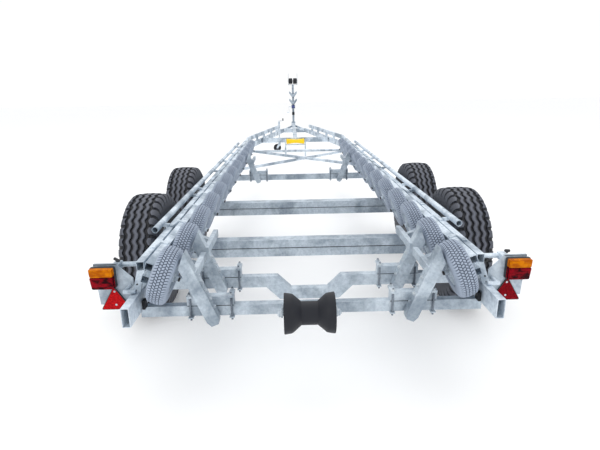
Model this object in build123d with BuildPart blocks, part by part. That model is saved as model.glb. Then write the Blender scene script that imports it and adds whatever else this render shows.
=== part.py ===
from build123d import *
import os
from math import sin, cos, tan, radians, atan2, degrees, hypot

os.makedirs("parts", exist_ok=True)

# Boat trailer with two road axles, rows of small pneumatic support wheels
# along both sides, a keel roller and a bow post.  Millimetres, +Z up,
# +Y towards the towing eye, ground at Z = 0, X = 0 on the centre plane.
# Stations along the trailer are counted from the rear end of the main rails;
# at() turns a station into Y, with Y = 0 halfway along the whole trailer.

REAR_REACH = -17.0        # rearmost point, the keel roller's rim
FRONT_REACH = 12620.0     # foremost point, the towing eye
Y_MID = (REAR_REACH + FRONT_REACH) / 2


def at(station):
    return station - Y_MID


# --- main rails ---------------------------------------------------------
RAIL_X = 900.0            # outer face of the rails
RAIL_W = 40.0
RAIL_H = 100.0
RAIL_TOP = 592.0
RAIL_BOTTOM = RAIL_TOP - RAIL_H
WALL = 4.0
BEND = 6650.0             # station where the rails turn inwards
NOSE = 9900.0             # station where the main rails end
NOSE_X = 313.0            # outer face there
TAPER = (RAIL_X - NOSE_X) / (NOSE - BEND)
# --- top rails ----------------------------------------------------------
TOP_RAIL_H = 50.0
TOP_RAIL_TOP = 717.0
TOP_RAIL_REAR = 272.0
TOP_RAIL_FRONT = 9430.0
NOSE_DEEPER = 20.0        # the top rails' extra depth from just behind the bend forward
# columns: station, length
SPACERS = [(900, 60), (2000, 60), (3100, 60), (4200, 60), (5300, 60), (6400, 60),
           (7230, 200), (7800, 230), (8530, 170), (9120, 180)]
# --- road wheels --------------------------------------------------------
TYRE_R = 422.5
TYRE_W = 252.0
WHEEL_OUT = 1250.0        # outer face of the tyres
AXLE_STATIONS = {"rear": 1273.0, "front": 2428.0}
SPINDLE_R = 25.0
SPINDLE_END = WHEEL_OUT - TYRE_W / 2 + 23
# --- bunk wheels --------------------------------------------------------
TILT = 21.0               # lean of the wheel rows, top inboard
BW_R = 151.5
BW_W = 104.5
BW_X = 742.0
BW_Z = 663.0
BW_FIRST = 220.0
BW_PITCH = 413.0
BW_COUNT = 13
BW_AXLE_R = 8.0
BUNK_REAR = 186.0
BUNK_FRONT = 5393.0
BUNK_TUBE = 40.0
BUNK_U = 82.0             # tube centres outboard of the wheel centre
BUNK_HIGH = 31.0          # upper tube's centre above the wheel axle
BUNK_LOW = -41.0          # lower tube's centre
STRAP_FIRST = 490.0
STRAP_STATIONS = [STRAP_FIRST + i * BW_PITCH for i in range(BW_COUNT - 1)]
# --- cross beams --------------------------------------------------------
BEAM_HALF = 883.0
REAR_BEAM = 211.0         # station of the rear face
REAR_BEAM_H = 58.0
REAR_BEAM_D = 42.0
DROP_BEAM = 566.0
DROP_BEAM_H = 70.0
DROP_BEAM_D = 45.0
DROP = 80.0
DROP_TOP_X = 188.0        # where the top edge starts down
FRONT_BEAM = 3875.0
AXLE_MEMBER_H = 60.0
AXLE_MEMBER_D = 95.0
AXLE_BEAM_S = 68.0
# --- rollers ------------------------------------------------------------
KEEL_X = -20.0
KEEL_STATION = 84.0
KEEL_Z = 503.0
KEEL_R = 101.0
KEEL_CORE_R = 58.0
KEEL_L = 248.0
NOSE_TUBE = 7550.0        # rear face of the mid nose tube
NOSE_TUBE_D = 50.0
NOSE_ROLLER_STATION = 7450.0
NOSE_ROLLER_Z = 528.0
NOSE_ROLLER_R = 54.0
NOSE_ROLLER_L = 370.0
# --- drawbar and post ---------------------------------------------------
DRAW_S = 90.0
DRAW_REAR = NOSE_TUBE + NOSE_TUBE_D
DRAW_FRONT = 12380.0
DRAW_TOP = RAIL_TOP
END_TUBE = 9850.0
POST_STATION = 12150.0
POST_S = 60.0
# --- jockey wheel -------------------------------------------------------
JOCKEY_X = -392.0
JOCKEY_STATION = 9935.0
JOCKEY_WHEEL_R = 100.0
JOCKEY_WHEEL_W = 60.0
JOCKEY_TRAIL = 60.0


def centre_line(rear, front):
    """Plan points of the rail's outer face, from the rear station forward."""
    return [(RAIL_X, rear), (RAIL_X, BEND), (RAIL_X - TAPER * (front - BEND), front)]


def strip(points, inset, width):
    """Plan outline of a strip that runs inboard of the outer face line."""
    (x0, y0), (x1, y1), (x2, y2) = points
    turn = atan2(x1 - x2, y2 - y1)
    k = tan(turn / 2)

    def line(off):
        nx, ny = cos(turn), sin(turn)
        return [(x0 - off, y0), (x1 - off, y1 - off * k), (x2 - off / nx, y2)]

    outer, inner = line(inset), line(inset + width)
    return outer + inner[::-1]


def rail_sketch(side, rear, front, inset, width):
    return [(side * x, at(y)) for x, y in strip(centre_line(rear, front), inset, width)]


SIDES = {"left": -1, "right": 1}

# ---------------------------------------------------------------- main rails
for name, side in SIDES.items():
    with BuildPart() as main_rail:
        with BuildSketch(Plane.XY.offset(RAIL_BOTTOM)):
            with BuildLine():
                Polyline(*rail_sketch(side, 0, NOSE, 0, RAIL_W), close=True)
            make_face()
        extrude(amount=RAIL_H)
        with BuildSketch(Plane.XY.offset(RAIL_BOTTOM + WALL)):
            with BuildLine():
                Polyline(*rail_sketch(side, -10, NOSE - WALL, WALL, RAIL_W - 2 * WALL), close=True)
            make_face()
        extrude(amount=RAIL_H - 2 * WALL, mode=Mode.SUBTRACT)
    main_rail.part.label = f"{name}_main_rail"
    export_step(main_rail.part, f"parts/{name}_main_rail.step")

# ----------------------------------------------------------------- top rails
for name, side in SIDES.items():
    rail_low = TOP_RAIL_TOP - TOP_RAIL_H
    with BuildPart() as top_rail:
        with BuildSketch(Plane.XY.offset(rail_low)):
            with BuildLine():
                Polyline(*rail_sketch(side, TOP_RAIL_REAR, TOP_RAIL_FRONT, 0, RAIL_W), close=True)
            make_face()
        extrude(amount=TOP_RAIL_H)
        with BuildSketch(Plane.XY.offset(rail_low + 3)):
            with BuildLine():
                Polyline(*rail_sketch(side, TOP_RAIL_REAR - 10, TOP_RAIL_FRONT + 10, 3, RAIL_W - 6), close=True)
            make_face()
        extrude(amount=TOP_RAIL_H - 6, mode=Mode.SUBTRACT)
        with BuildSketch(Plane.XY.offset(rail_low - NOSE_DEEPER)):
            with BuildLine():
                Polyline(*rail_sketch(side, BEND - 50, TOP_RAIL_FRONT, 0, RAIL_W), close=True)
            make_face()
        extrude(amount=NOSE_DEEPER)
        # spacer blocks that carry the top rail on the main rail
        for station, spacer_l in SPACERS:
            x = RAIL_X - max(0.0, station - BEND) * TAPER
            lean = -side * degrees(atan2(TAPER, 1)) if station > BEND else 0
            spot = Plane(origin=(side * (x - RAIL_W / 2), at(station), RAIL_TOP), x_dir=(cos(radians(-lean)), -sin(radians(-lean)), 0), z_dir=(0, 0, 1))
            with BuildSketch(spot):
                Rectangle(RAIL_W - 10, spacer_l)
            extrude(amount=rail_low - RAIL_TOP)
        # sloping end plate, its foot on the main rail
        with BuildSketch(Plane.YZ.offset(RAIL_X - RAIL_W if side > 0 else -RAIL_X)):
            with BuildLine():
                Polyline((at(TOP_RAIL_REAR), rail_low + 4), (at(TOP_RAIL_REAR + 9), rail_low + 4),
                         (at(190), RAIL_TOP), (at(181), RAIL_TOP), close=True)
            make_face()
        extrude(amount=RAIL_W)
    top_rail.part.label = f"{name}_top_rail"
    export_step(top_rail.part, f"parts/{name}_top_rail.step")


# ------------------------------------------------------- bunks of the wheels
def lean_plane(side, station, u=0.0, v=0.0):
    """Plane in a wheel row's cross section: x_dir outboard and up, y_dir
    up and inboard, normal along the row."""
    t = radians(TILT)
    x = side * (BW_X + u * cos(t) - v * sin(t))
    z = BW_Z + u * sin(t) + v * cos(t)
    return Plane(origin=(x, at(station), z), x_dir=(side * cos(t), 0, sin(t)), z_dir=(0, -side, 0))


for name, side in SIDES.items():
    with BuildPart() as bunk:
        length = BUNK_FRONT - BUNK_REAR
        section = lean_plane(side, BUNK_REAR if side < 0 else BUNK_FRONT)
        with BuildSketch(section):
            with Locations((BUNK_U, BUNK_HIGH), (BUNK_U, BUNK_LOW)):
                Rectangle(BUNK_TUBE, BUNK_TUBE)
            with Locations((BUNK_U - 10, (BUNK_HIGH + BUNK_LOW) / 2)):
                Rectangle(20, BUNK_HIGH - BUNK_LOW - BUNK_TUBE)
        extrude(amount=length)
        with BuildSketch(section.offset(-5)):
            with Locations((BUNK_U, BUNK_HIGH), (BUNK_U, BUNK_LOW)):
                Rectangle(BUNK_TUBE - 6, BUNK_TUBE - 6)
        extrude(amount=length + 10, mode=Mode.SUBTRACT)
        # stub axles with their end nuts, one for each small wheel
        for i in range(BW_COUNT):
            spot = lean_plane(side, BW_FIRST + i * BW_PITCH)
            stub = Plane(origin=spot.origin, x_dir=(0, 1, 0), z_dir=spot.x_dir)
            with BuildSketch(stub.offset(-BW_W / 2 - 14)):
                Circle(BW_AXLE_R)
            extrude(amount=BW_W / 2 + 14 + BUNK_U)
            with BuildSketch(stub.offset(-BW_W / 2 - 16)):
                RegularPolygon(13, 6)
            extrude(amount=13)
            with BuildSketch(stub.offset(BUNK_U - 24)):
                Circle(14)
            extrude(amount=24)
        # straps that tie the upper tube to the top rail
        for station in STRAP_STATIONS:
            t = radians(TILT)
            ux = BW_X + (BUNK_U + BUNK_TUBE / 2) * cos(t) - (BUNK_HIGH + BUNK_TUBE / 2) * sin(t)
            uz = BW_Z + (BUNK_U + BUNK_TUBE / 2) * sin(t) + (BUNK_HIGH + BUNK_TUBE / 2) * cos(t)
            wx = BW_X + (BUNK_U - BUNK_TUBE / 2 + 4) * cos(t) - (BUNK_HIGH + BUNK_TUBE / 2) * sin(t)
            wz = BW_Z + (BUNK_U - BUNK_TUBE / 2 + 4) * sin(t) + (BUNK_HIGH + BUNK_TUBE / 2) * cos(t)
            face = Plane(origin=(0, at(station), 0), x_dir=(1, 0, 0), z_dir=(0, -1, 0))
            with BuildSketch(face):
                with BuildLine():
                    Polyline((side * wx, wz - 1), (side * wx, wz + 7), (side * (ux + 6), uz + 7),
                             (side * (RAIL_X - RAIL_W + 2), TOP_RAIL_TOP + 7), (side * (RAIL_X - 14), TOP_RAIL_TOP + 7),
                             (side * (RAIL_X - 14), TOP_RAIL_TOP), (side * (RAIL_X - RAIL_W - 2), TOP_RAIL_TOP),
                             (side * (ux + 2), uz - 1), close=True)
                make_face()
            extrude(amount=15, both=True)
    bunk.part.label = f"{name}_wheel_bunk"
    export_step(bunk.part, f"parts/{name}_wheel_bunk.step")

# ------------------------------------------------------------- bunk wheels
for name, side in SIDES.items():
    for i in range(BW_COUNT):
        spot = lean_plane(side, BW_FIRST + i * BW_PITCH)
        # profile plane: x along the wheel's axle, y out to the tread
        profile = Plane(origin=spot.origin, x_dir=spot.x_dir, z_dir=(0, side, 0))
        with BuildPart() as bunk_wheel:
            with BuildSketch(profile):
                with BuildLine():
                    hw = BW_W / 2
                    Polyline((-hw, BW_AXLE_R + 0.5), (-hw, 24), (-36, 26), (-36, 66), (-42, 72), (-hw, 106))
                    ThreePointArc((-hw, 106), (-hw + 2, 129), (-hw + 13, BW_R - 7))
                    ThreePointArc((-hw + 13, BW_R - 7), (0, BW_R), (hw - 13, BW_R - 7))
                    ThreePointArc((hw - 13, BW_R - 7), (hw - 2, 129), (hw, 106))
                    Polyline((hw, 106), (42, 72), (36, 66), (36, 26), (hw, 24), (hw, BW_AXLE_R + 0.5), (-hw, BW_AXLE_R + 0.5))
                make_face()
            revolve(axis=Axis(spot.origin, spot.x_dir), revolution_arc=360)
        bunk_wheel.part.label = f"{name}_bunk_wheel_{i + 1:02d}"
        export_step(bunk_wheel.part, f"parts/{name}_bunk_wheel_{i + 1:02d}.step")

# -------------------------------------------------------------- side guards
GUARD_X, GUARD_Z, GUARD_R = 933.0, 742.0, 20.0
GUARD_REAR, GUARD_FRONT = 735.0, 5350.0
for name, side in SIDES.items():
    with BuildPart() as guard:
        with BuildSketch(Plane(origin=(side * GUARD_X, at(GUARD_REAR), GUARD_Z), x_dir=(1, 0, 0), z_dir=(0, 1, 0))):
            Circle(GUARD_R)
            Circle(GUARD_R - 3, mode=Mode.SUBTRACT)
        extrude(amount=GUARD_FRONT - GUARD_REAR)
        for station in (900, 1750, 2000, 2900, 3600, 4300, 5000):
            with Locations((side * (RAIL_X - 12 + 19), at(station), TOP_RAIL_TOP + 8)):
                Box(38, 30, 16)
            with Locations((side * (RAIL_X + 4), at(station), TOP_RAIL_TOP - 12)):
                Box(8, 30, 40)
    guard.part.label = f"{name}_side_guard"
    export_step(guard.part, f"parts/{name}_side_guard.step")


# -------------------------------------------------------------- cross beams
def facing(station):
    """Upright plane across the trailer, seen from the rear, normal forward."""
    return Plane(origin=(0, at(station), 0), x_dir=(-1, 0, 0), z_dir=(0, 1, 0))


def rect(x0, x1, z0, z1):
    """Rectangle on a facing() plane, given in the trailer's X and Z."""
    with Locations((-(x0 + x1) / 2, (z0 + z1) / 2)):
        Rectangle(abs(x1 - x0), z1 - z0)


with BuildPart() as rear_beam:
    z1 = RAIL_BOTTOM
    z0 = z1 - REAR_BEAM_H
    with BuildSketch(facing(REAR_BEAM)):
        rect(-BEAM_HALF, BEAM_HALF, z0, z1)
    extrude(amount=REAR_BEAM_D)
    # two ears that carry the keel roller's pin
    for sx in (-1, 1):
        with BuildSketch(Plane.YZ.offset(KEEL_X + sx * (KEEL_L / 2 + 10) - 4)):
            with BuildLine():
                Polyline((at(REAR_BEAM), z1 - 2), (at(KEEL_STATION), KEEL_Z + 24), (at(KEEL_STATION - 24), KEEL_Z),
                         (at(KEEL_STATION), KEEL_Z - 24), (at(REAR_BEAM), z0 + 2), close=True)
            make_face()
        extrude(amount=8)
    with BuildSketch(Plane.YZ.offset(KEEL_X - KEEL_L / 2 - 32)):
        with Locations((at(KEEL_STATION), KEEL_Z)):
            Circle(10)
    extrude(amount=KEEL_L + 64)
    for x in (KEEL_X - KEEL_L / 2 - 26, KEEL_X + KEEL_L / 2 + 14):
        with BuildSketch(Plane.YZ.offset(x)):
            with Locations((at(KEEL_STATION), KEEL_Z)):
                RegularPolygon(17, 6)
        extrude(amount=12)
rear_beam.part.label = "rear_cross_beam"
export_step(rear_beam.part, "parts/rear_cross_beam.step")

with BuildPart() as drop_beam:
    z1 = RAIL_BOTTOM
    z0 = z1 - DROP_BEAM_H
    xt = DROP_TOP_X
    xb = DROP_TOP_X + DROP_BEAM_H
    with BuildSketch(facing(DROP_BEAM)):
        with BuildLine():
            Polyline((-BEAM_HALF, z1), (-xt, z1), (-xt + DROP, z1 - DROP), (xt - DROP, z1 - DROP), (xt, z1), (BEAM_HALF, z1),
                     (BEAM_HALF, z0), (xb, z0), (xb - DROP, z0 - DROP), (-xb + DROP, z0 - DROP), (-xb, z0), (-BEAM_HALF, z0), close=True)
        make_face()
    extrude(amount=DROP_BEAM_D)
drop_beam.part.label = "dropped_cross_beam"
export_step(drop_beam.part, "parts/dropped_cross_beam.step")

with BuildPart() as front_beam:
    with BuildSketch(facing(FRONT_BEAM)):
        rect(-BEAM_HALF, BEAM_HALF, RAIL_BOTTOM - DROP_BEAM_H, RAIL_BOTTOM)
    extrude(amount=DROP_BEAM_D)
front_beam.part.label = "front_cross_beam"
export_step(front_beam.part, "parts/front_cross_beam.step")

# ------------------------------------------------------------------- axles
for name, station in AXLE_STATIONS.items():
    with BuildPart() as axle:
        z1 = RAIL_BOTTOM
        z0 = z1 - AXLE_MEMBER_H
        with BuildSketch(facing(station - AXLE_MEMBER_D / 2)):
            rect(-RAIL_X, RAIL_X, z0, z1)
        extrude(amount=AXLE_MEMBER_D)
        with BuildSketch(facing(station - AXLE_BEAM_S / 2 - 8)):
            rect(-RAIL_X - 25, RAIL_X + 25, z0 - AXLE_BEAM_S, z0)
        extrude(amount=AXLE_BEAM_S)
        for sx in (-1, 1):
            with BuildSketch(Plane.YZ.offset(sx * (RAIL_X + 25) - (8 if sx > 0 else 0))):
                with Locations((at(station), (z0 - AXLE_BEAM_S + TYRE_R + 45) / 2)):
                    Rectangle(100, TYRE_R + 45 - (z0 - AXLE_BEAM_S))
            extrude(amount=8)
            with BuildSketch(Plane.YZ.offset(RAIL_X + 20 if sx > 0 else -SPINDLE_END)):
                with Locations((at(station), TYRE_R)):
                    Circle(SPINDLE_R)
            extrude(amount=SPINDLE_END - RAIL_X - 20)
    axle.part.label = f"{name}_axle"
    export_step(axle.part, f"parts/{name}_axle.step")

# ------------------------------------------------------------- road wheels
TRACK_X = WHEEL_OUT - TYRE_W / 2
RIM, FLANGE, WALL, BULGE, SHOULDER, EDGE = [TYRE_W * f for f in (0.386, 0.414, 0.469, 0.5, 0.466, 0.441)]
for end, station in AXLE_STATIONS.items():
    for name, side in SIDES.items():
        profile = Plane(origin=(side * TRACK_X, at(station), TYRE_R), x_dir=(side, 0, 0), z_dir=(0, -side, 0))
        with BuildPart() as road_wheel:
            with BuildSketch(profile):
                with BuildLine():
                    Polyline((-90, SPINDLE_R + 1), (-90, 62), (12, 62), (12, 178), (-RIM, 178), (-FLANGE, 212), (-WALL, 240))
                    ThreePointArc((-WALL, 240), (-BULGE + 0.5, 312), (-SHOULDER, 378))
                    ThreePointArc((-SHOULDER, 378), (-EDGE, 402), (-RIM, 414))
                    ThreePointArc((-RIM, 414), (0, TYRE_R), (RIM, 414))
                    ThreePointArc((RIM, 414), (EDGE, 402), (SHOULDER, 378))
                    ThreePointArc((SHOULDER, 378), (BULGE, 312), (WALL, 240))
                    Polyline((WALL, 240), (FLANGE, 212), (RIM, 178), (26, 178), (26, 92), (66, 88), (66, 40), (62, 0), (30, 0), (30, SPINDLE_R + 1), (-90, SPINDLE_R + 1))
                make_face()
            revolve(axis=Axis((0, at(station), TYRE_R), (1, 0, 0)), revolution_arc=360)
        road_wheel.part.label = f"{name}_{end}_wheel"
        export_step(road_wheel.part, f"parts/{name}_{end}_wheel.step")

# ------------------------------------------------------------ diagonal brace
BRACE_R = 21.0
HIGH_Z, LOW_Z = 512.0, 471.0
with BuildPart() as brace:
    # columns: x and station of the first end, x and station of the second end, height
    for x0, s0, x1, s1, z in ((-868, 6200, 868, 4420, HIGH_Z), (-868, 4420, 868, 6200, LOW_Z), (-868, 6225, 868, 6225, (HIGH_Z + LOW_Z) / 2)):
        run = hypot(x1 - x0, s1 - s0)
        with BuildSketch(Plane(origin=(x0, at(s0), z), z_dir=(x1 - x0, s1 - s0, 0))):
            Circle(BRACE_R)
        extrude(amount=run)
    for sx in (-1, 1):
        # trim to the rails' inner faces
        with Locations((sx * (RAIL_X - RAIL_W + 100), at(5300), 500)):
            Box(200, 2600, 200, mode=Mode.SUBTRACT)
brace.part.label = "diagonal_brace"
export_step(brace.part, "parts/diagonal_brace.step")


# --------------------------------------------------------- mid nose tube
def rail_outer(station):
    return RAIL_X - TAPER * (station - BEND)


with BuildPart() as nose_tube:
    half = rail_outer(NOSE_TUBE + NOSE_TUBE_D) - RAIL_W - 6
    with BuildSketch(facing(NOSE_TUBE)):
        rect(-half, half, RAIL_BOTTOM + 4, RAIL_TOP)
    extrude(amount=NOSE_TUBE_D)
    for sx in (-1, 1):
        # end plate bolted to the rail
        with BuildSketch(facing(NOSE_TUBE - 12)):
            rect(sx * (half - 12), sx * (half - 2), RAIL_BOTTOM - 4, RAIL_TOP + 6)
        extrude(amount=NOSE_TUBE_D + 24)
    # hanging bracket of the yellow roller
    for sx in (-1, 1):
        with BuildSketch(facing(NOSE_TUBE - 40)):
            rect(sx * 193, sx * 223, 205, 575)
        extrude(amount=40)
        with BuildSketch(facing(NOSE_ROLLER_STATION - 22)):
            rect(sx * 193, sx * 199, 470, 560)
        extrude(amount=NOSE_TUBE - NOSE_ROLLER_STATION + 22 - 10)
    with BuildSketch(facing(NOSE_TUBE - 34)):
        rect(-193, 193, 440, 464)
    extrude(amount=28)
    with BuildSketch(Plane.YZ.offset(-206)):
        with Locations((at(NOSE_ROLLER_STATION), NOSE_ROLLER_Z)):
            Circle(9)
    extrude(amount=412)
nose_tube.part.label = "nose_cross_tube"
export_step(nose_tube.part, "parts/nose_cross_tube.step")

# --------------------------------------------------------------- drawbar
with BuildPart() as drawbar:
    half = rail_outer(END_TUBE + 50)
    with BuildSketch(facing(END_TUBE)):
        rect(-half + RAIL_W + 2, half - RAIL_W - 2, RAIL_BOTTOM, RAIL_TOP)
    extrude(amount=50)
    with BuildSketch(facing(NOSE)):
        rect(-half, half, RAIL_BOTTOM, RAIL_TOP)
    extrude(amount=8)
    with BuildSketch(facing(DRAW_REAR)):
        rect(-DRAW_S / 2, DRAW_S / 2, DRAW_TOP - DRAW_S, DRAW_TOP)
    extrude(amount=DRAW_FRONT - DRAW_REAR)
    # stays from the end tube to the drawbar
    for sx in (-1, 1):
        with BuildSketch(Plane.XY.offset(DRAW_TOP - 70)):
            with BuildLine():
                Polyline((sx * (half - 6), at(NOSE + 4)), (sx * (half - 56), at(NOSE + 4)), (sx * 40, at(11250)), (sx * 40, at(11400)), close=True)
            make_face()
        extrude(amount=50)
    # jockey clamp and its outer tube
    with BuildSketch(facing(JOCKEY_STATION - 20)):
        rect(JOCKEY_X + 20, -half + 30, 520, 575)
    extrude(amount=40)
    with Locations((JOCKEY_X, at(JOCKEY_STATION), 547)):
        Cylinder(34, 60)
    with Locations((JOCKEY_X, at(JOCKEY_STATION), (425 + 765) / 2)):
        Cylinder(26, 765 - 425)
    with Locations((JOCKEY_X, at(JOCKEY_STATION), (415 + 750) / 2)):
        Cylinder(22, 750 - 415, mode=Mode.SUBTRACT)
    with Locations((JOCKEY_X, at(JOCKEY_STATION), 775)):
        Cylinder(8, 30)
    with BuildSketch(Plane.YZ.offset(JOCKEY_X - 8)):
        with Locations((at(JOCKEY_STATION), 784)):
            Rectangle(20, 10)
    extrude(amount=120)
    with Locations((JOCKEY_X + 104, at(JOCKEY_STATION), 784 + 30)):
        Cylinder(13, 60)
drawbar.part.label = "drawbar"
export_step(drawbar.part, "parts/drawbar.step")

# ------------------------------------------------------------- towing eye
EYE_BORE = 20.0
EYE_STATION = FRONT_REACH - 55
with BuildPart() as eye:
    with Locations((0, at(EYE_STATION), DRAW_TOP - 45)):
        Cylinder(55, 36)
    with BuildSketch(facing(DRAW_FRONT)):
        rect(-60, 60, DRAW_TOP - 100, DRAW_TOP + 10)
    extrude(amount=16)
    with BuildSketch(facing(DRAW_FRONT + 16)):
        rect(-26, 26, DRAW_TOP - 63, DRAW_TOP - 27)
    extrude(amount=EYE_STATION - DRAW_FRONT - 16 - 20)
    with Locations((0, at(EYE_STATION), DRAW_TOP - 45)):
        Cylinder(EYE_BORE, 60, mode=Mode.SUBTRACT)
eye.part.label = "towing_eye"
export_step(eye.part, "parts/towing_eye.step")

# --------------------------------------------------------------- bow post
BOW_ROLLER_R = 82.0
BOW_ROLLER_W = 112.0
BOW_ROLLER_Z = 1800.0
BOW_ROLLER_STATION = POST_STATION - 70
WINCH_Z = 1062.0
WINCH_STATION = POST_STATION - 95
with BuildPart() as post:
    with Locations((0, at(POST_STATION), (DRAW_TOP + 1690) / 2)):
        Box(POST_S, POST_S, 1690 - DRAW_TOP)
    with Locations((0, at(POST_STATION), DRAW_TOP + 6)):
        Box(110, 160, 12)
    # two V chocks that take the bow
    for z in (1208, 1422):
        with BuildSketch(Plane(origin=(0, at(POST_STATION - 95), z), x_dir=(-1, 0, 0), z_dir=(0, 1, 0))):
            with BuildLine():
                Polyline((-116, 80), (-96, 80), (-16, 6), (16, 6), (96, 80), (116, 80), (116, 30), (40, -76), (-40, -76), (-116, 30), close=True)
            make_face()
        extrude(amount=65)
    # fork head that holds the bow rollers' pin
    with Locations((0, at(POST_STATION - 25), 1696)):
        Box(270, 110, 12)
    for x in (-131, 0, 131):
        with BuildSketch(Plane.YZ.offset(x - 4)):
            with BuildLine():
                Polyline((at(POST_STATION + 30), 1690), (at(POST_STATION + 30), 1740), (at(BOW_ROLLER_STATION + 24), 1820),
                         (at(BOW_ROLLER_STATION + 24), 2010 if x else 1824), (at(BOW_ROLLER_STATION - 24), 2010 if x else 1824), (at(BOW_ROLLER_STATION - 24), 1740),
                         (at(POST_STATION - 80), 1690), close=True)
            make_face()
        extrude(amount=8)
    with BuildSketch(Plane.YZ.offset(-146)):
        with Locations((at(BOW_ROLLER_STATION), BOW_ROLLER_Z)):
            Circle(9)
    extrude(amount=292)
    # winch cheeks on a back plate
    for x in (-56, 48):
        with Locations((x + 4, at(WINCH_STATION + 5), WINCH_Z)):
            Box(8, 110, 110)
    with Locations((0, at(POST_STATION - 36), WINCH_Z)):
        Box(112, 12, 110)
    with BuildSketch(Plane.YZ.offset(-80)):
        with Locations((at(WINCH_STATION), WINCH_Z)):
            Circle(9)
    extrude(amount=160, mode=Mode.SUBTRACT)
    # rubber block on the post
    with Locations((0, at(POST_STATION - 48), 857)):
        Box(76, 36, 82)
post.part.label = "bow_post"
export_step(post.part, "parts/bow_post.step")

with BuildPart() as bow_rollers:
    for x in (-67, 67):
        with BuildSketch(Plane(origin=(x, at(BOW_ROLLER_STATION), BOW_ROLLER_Z), x_dir=(1, 0, 0), z_dir=(0, -1, 0))):
            with BuildLine():
                hw = BOW_ROLLER_W / 2
                Polyline((-hw, 9.5), (-hw, 66), (-hw + 14, BOW_ROLLER_R), (hw - 14, BOW_ROLLER_R), (hw, 66), (hw, 9.5), close=True)
            make_face()
        revolve(axis=Axis((0, at(BOW_ROLLER_STATION), BOW_ROLLER_Z), (1, 0, 0)), revolution_arc=360)
bow_rollers.part.label = "bow_rollers"
export_step(bow_rollers.part, "parts/bow_rollers.step")

with BuildPart() as winch_drum:
    # columns: first x, length, radius
    for x, length, r in ((-46, 92, 22), (-46, 4, 42), (42, 4, 42), (-124, 80, 8), (44, 16, 8)):
        with BuildSketch(Plane.YZ.offset(x)):
            with Locations((at(WINCH_STATION), WINCH_Z)):
                Circle(r)
        extrude(amount=length)
    with BuildSketch(Plane.YZ.offset(-130)):
        with Locations((at(WINCH_STATION), WINCH_Z - 80)):
            SlotOverall(204, 24, rotation=90)
    extrude(amount=8)
    with BuildSketch(Plane.YZ.offset(-190)):
        with Locations((at(WINCH_STATION), WINCH_Z - 166)):
            Circle(13)
    extrude(amount=60)
winch_drum.part.label = "winch_drum"
export_step(winch_drum.part, "parts/winch_drum.step")

# --------------------------------------------------- struts and their clamps
STRUT_W, STRUT_D = 64.0, 50.0
STRUT_LEAN = 22.0         # top outboard
FOOT_BEVEL_W, FOOT_BEVEL_H = 12.0, 29.0   # each corner of a strut's foot
CLAMP_IN, CLAMP_OUT, CLAMP_H = 403.0, 644.0, 50.0
CLAMP_RODS = (415, 626)
HEAD_U = -122.0           # inboard end of the arms, from the wheel centre
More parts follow.
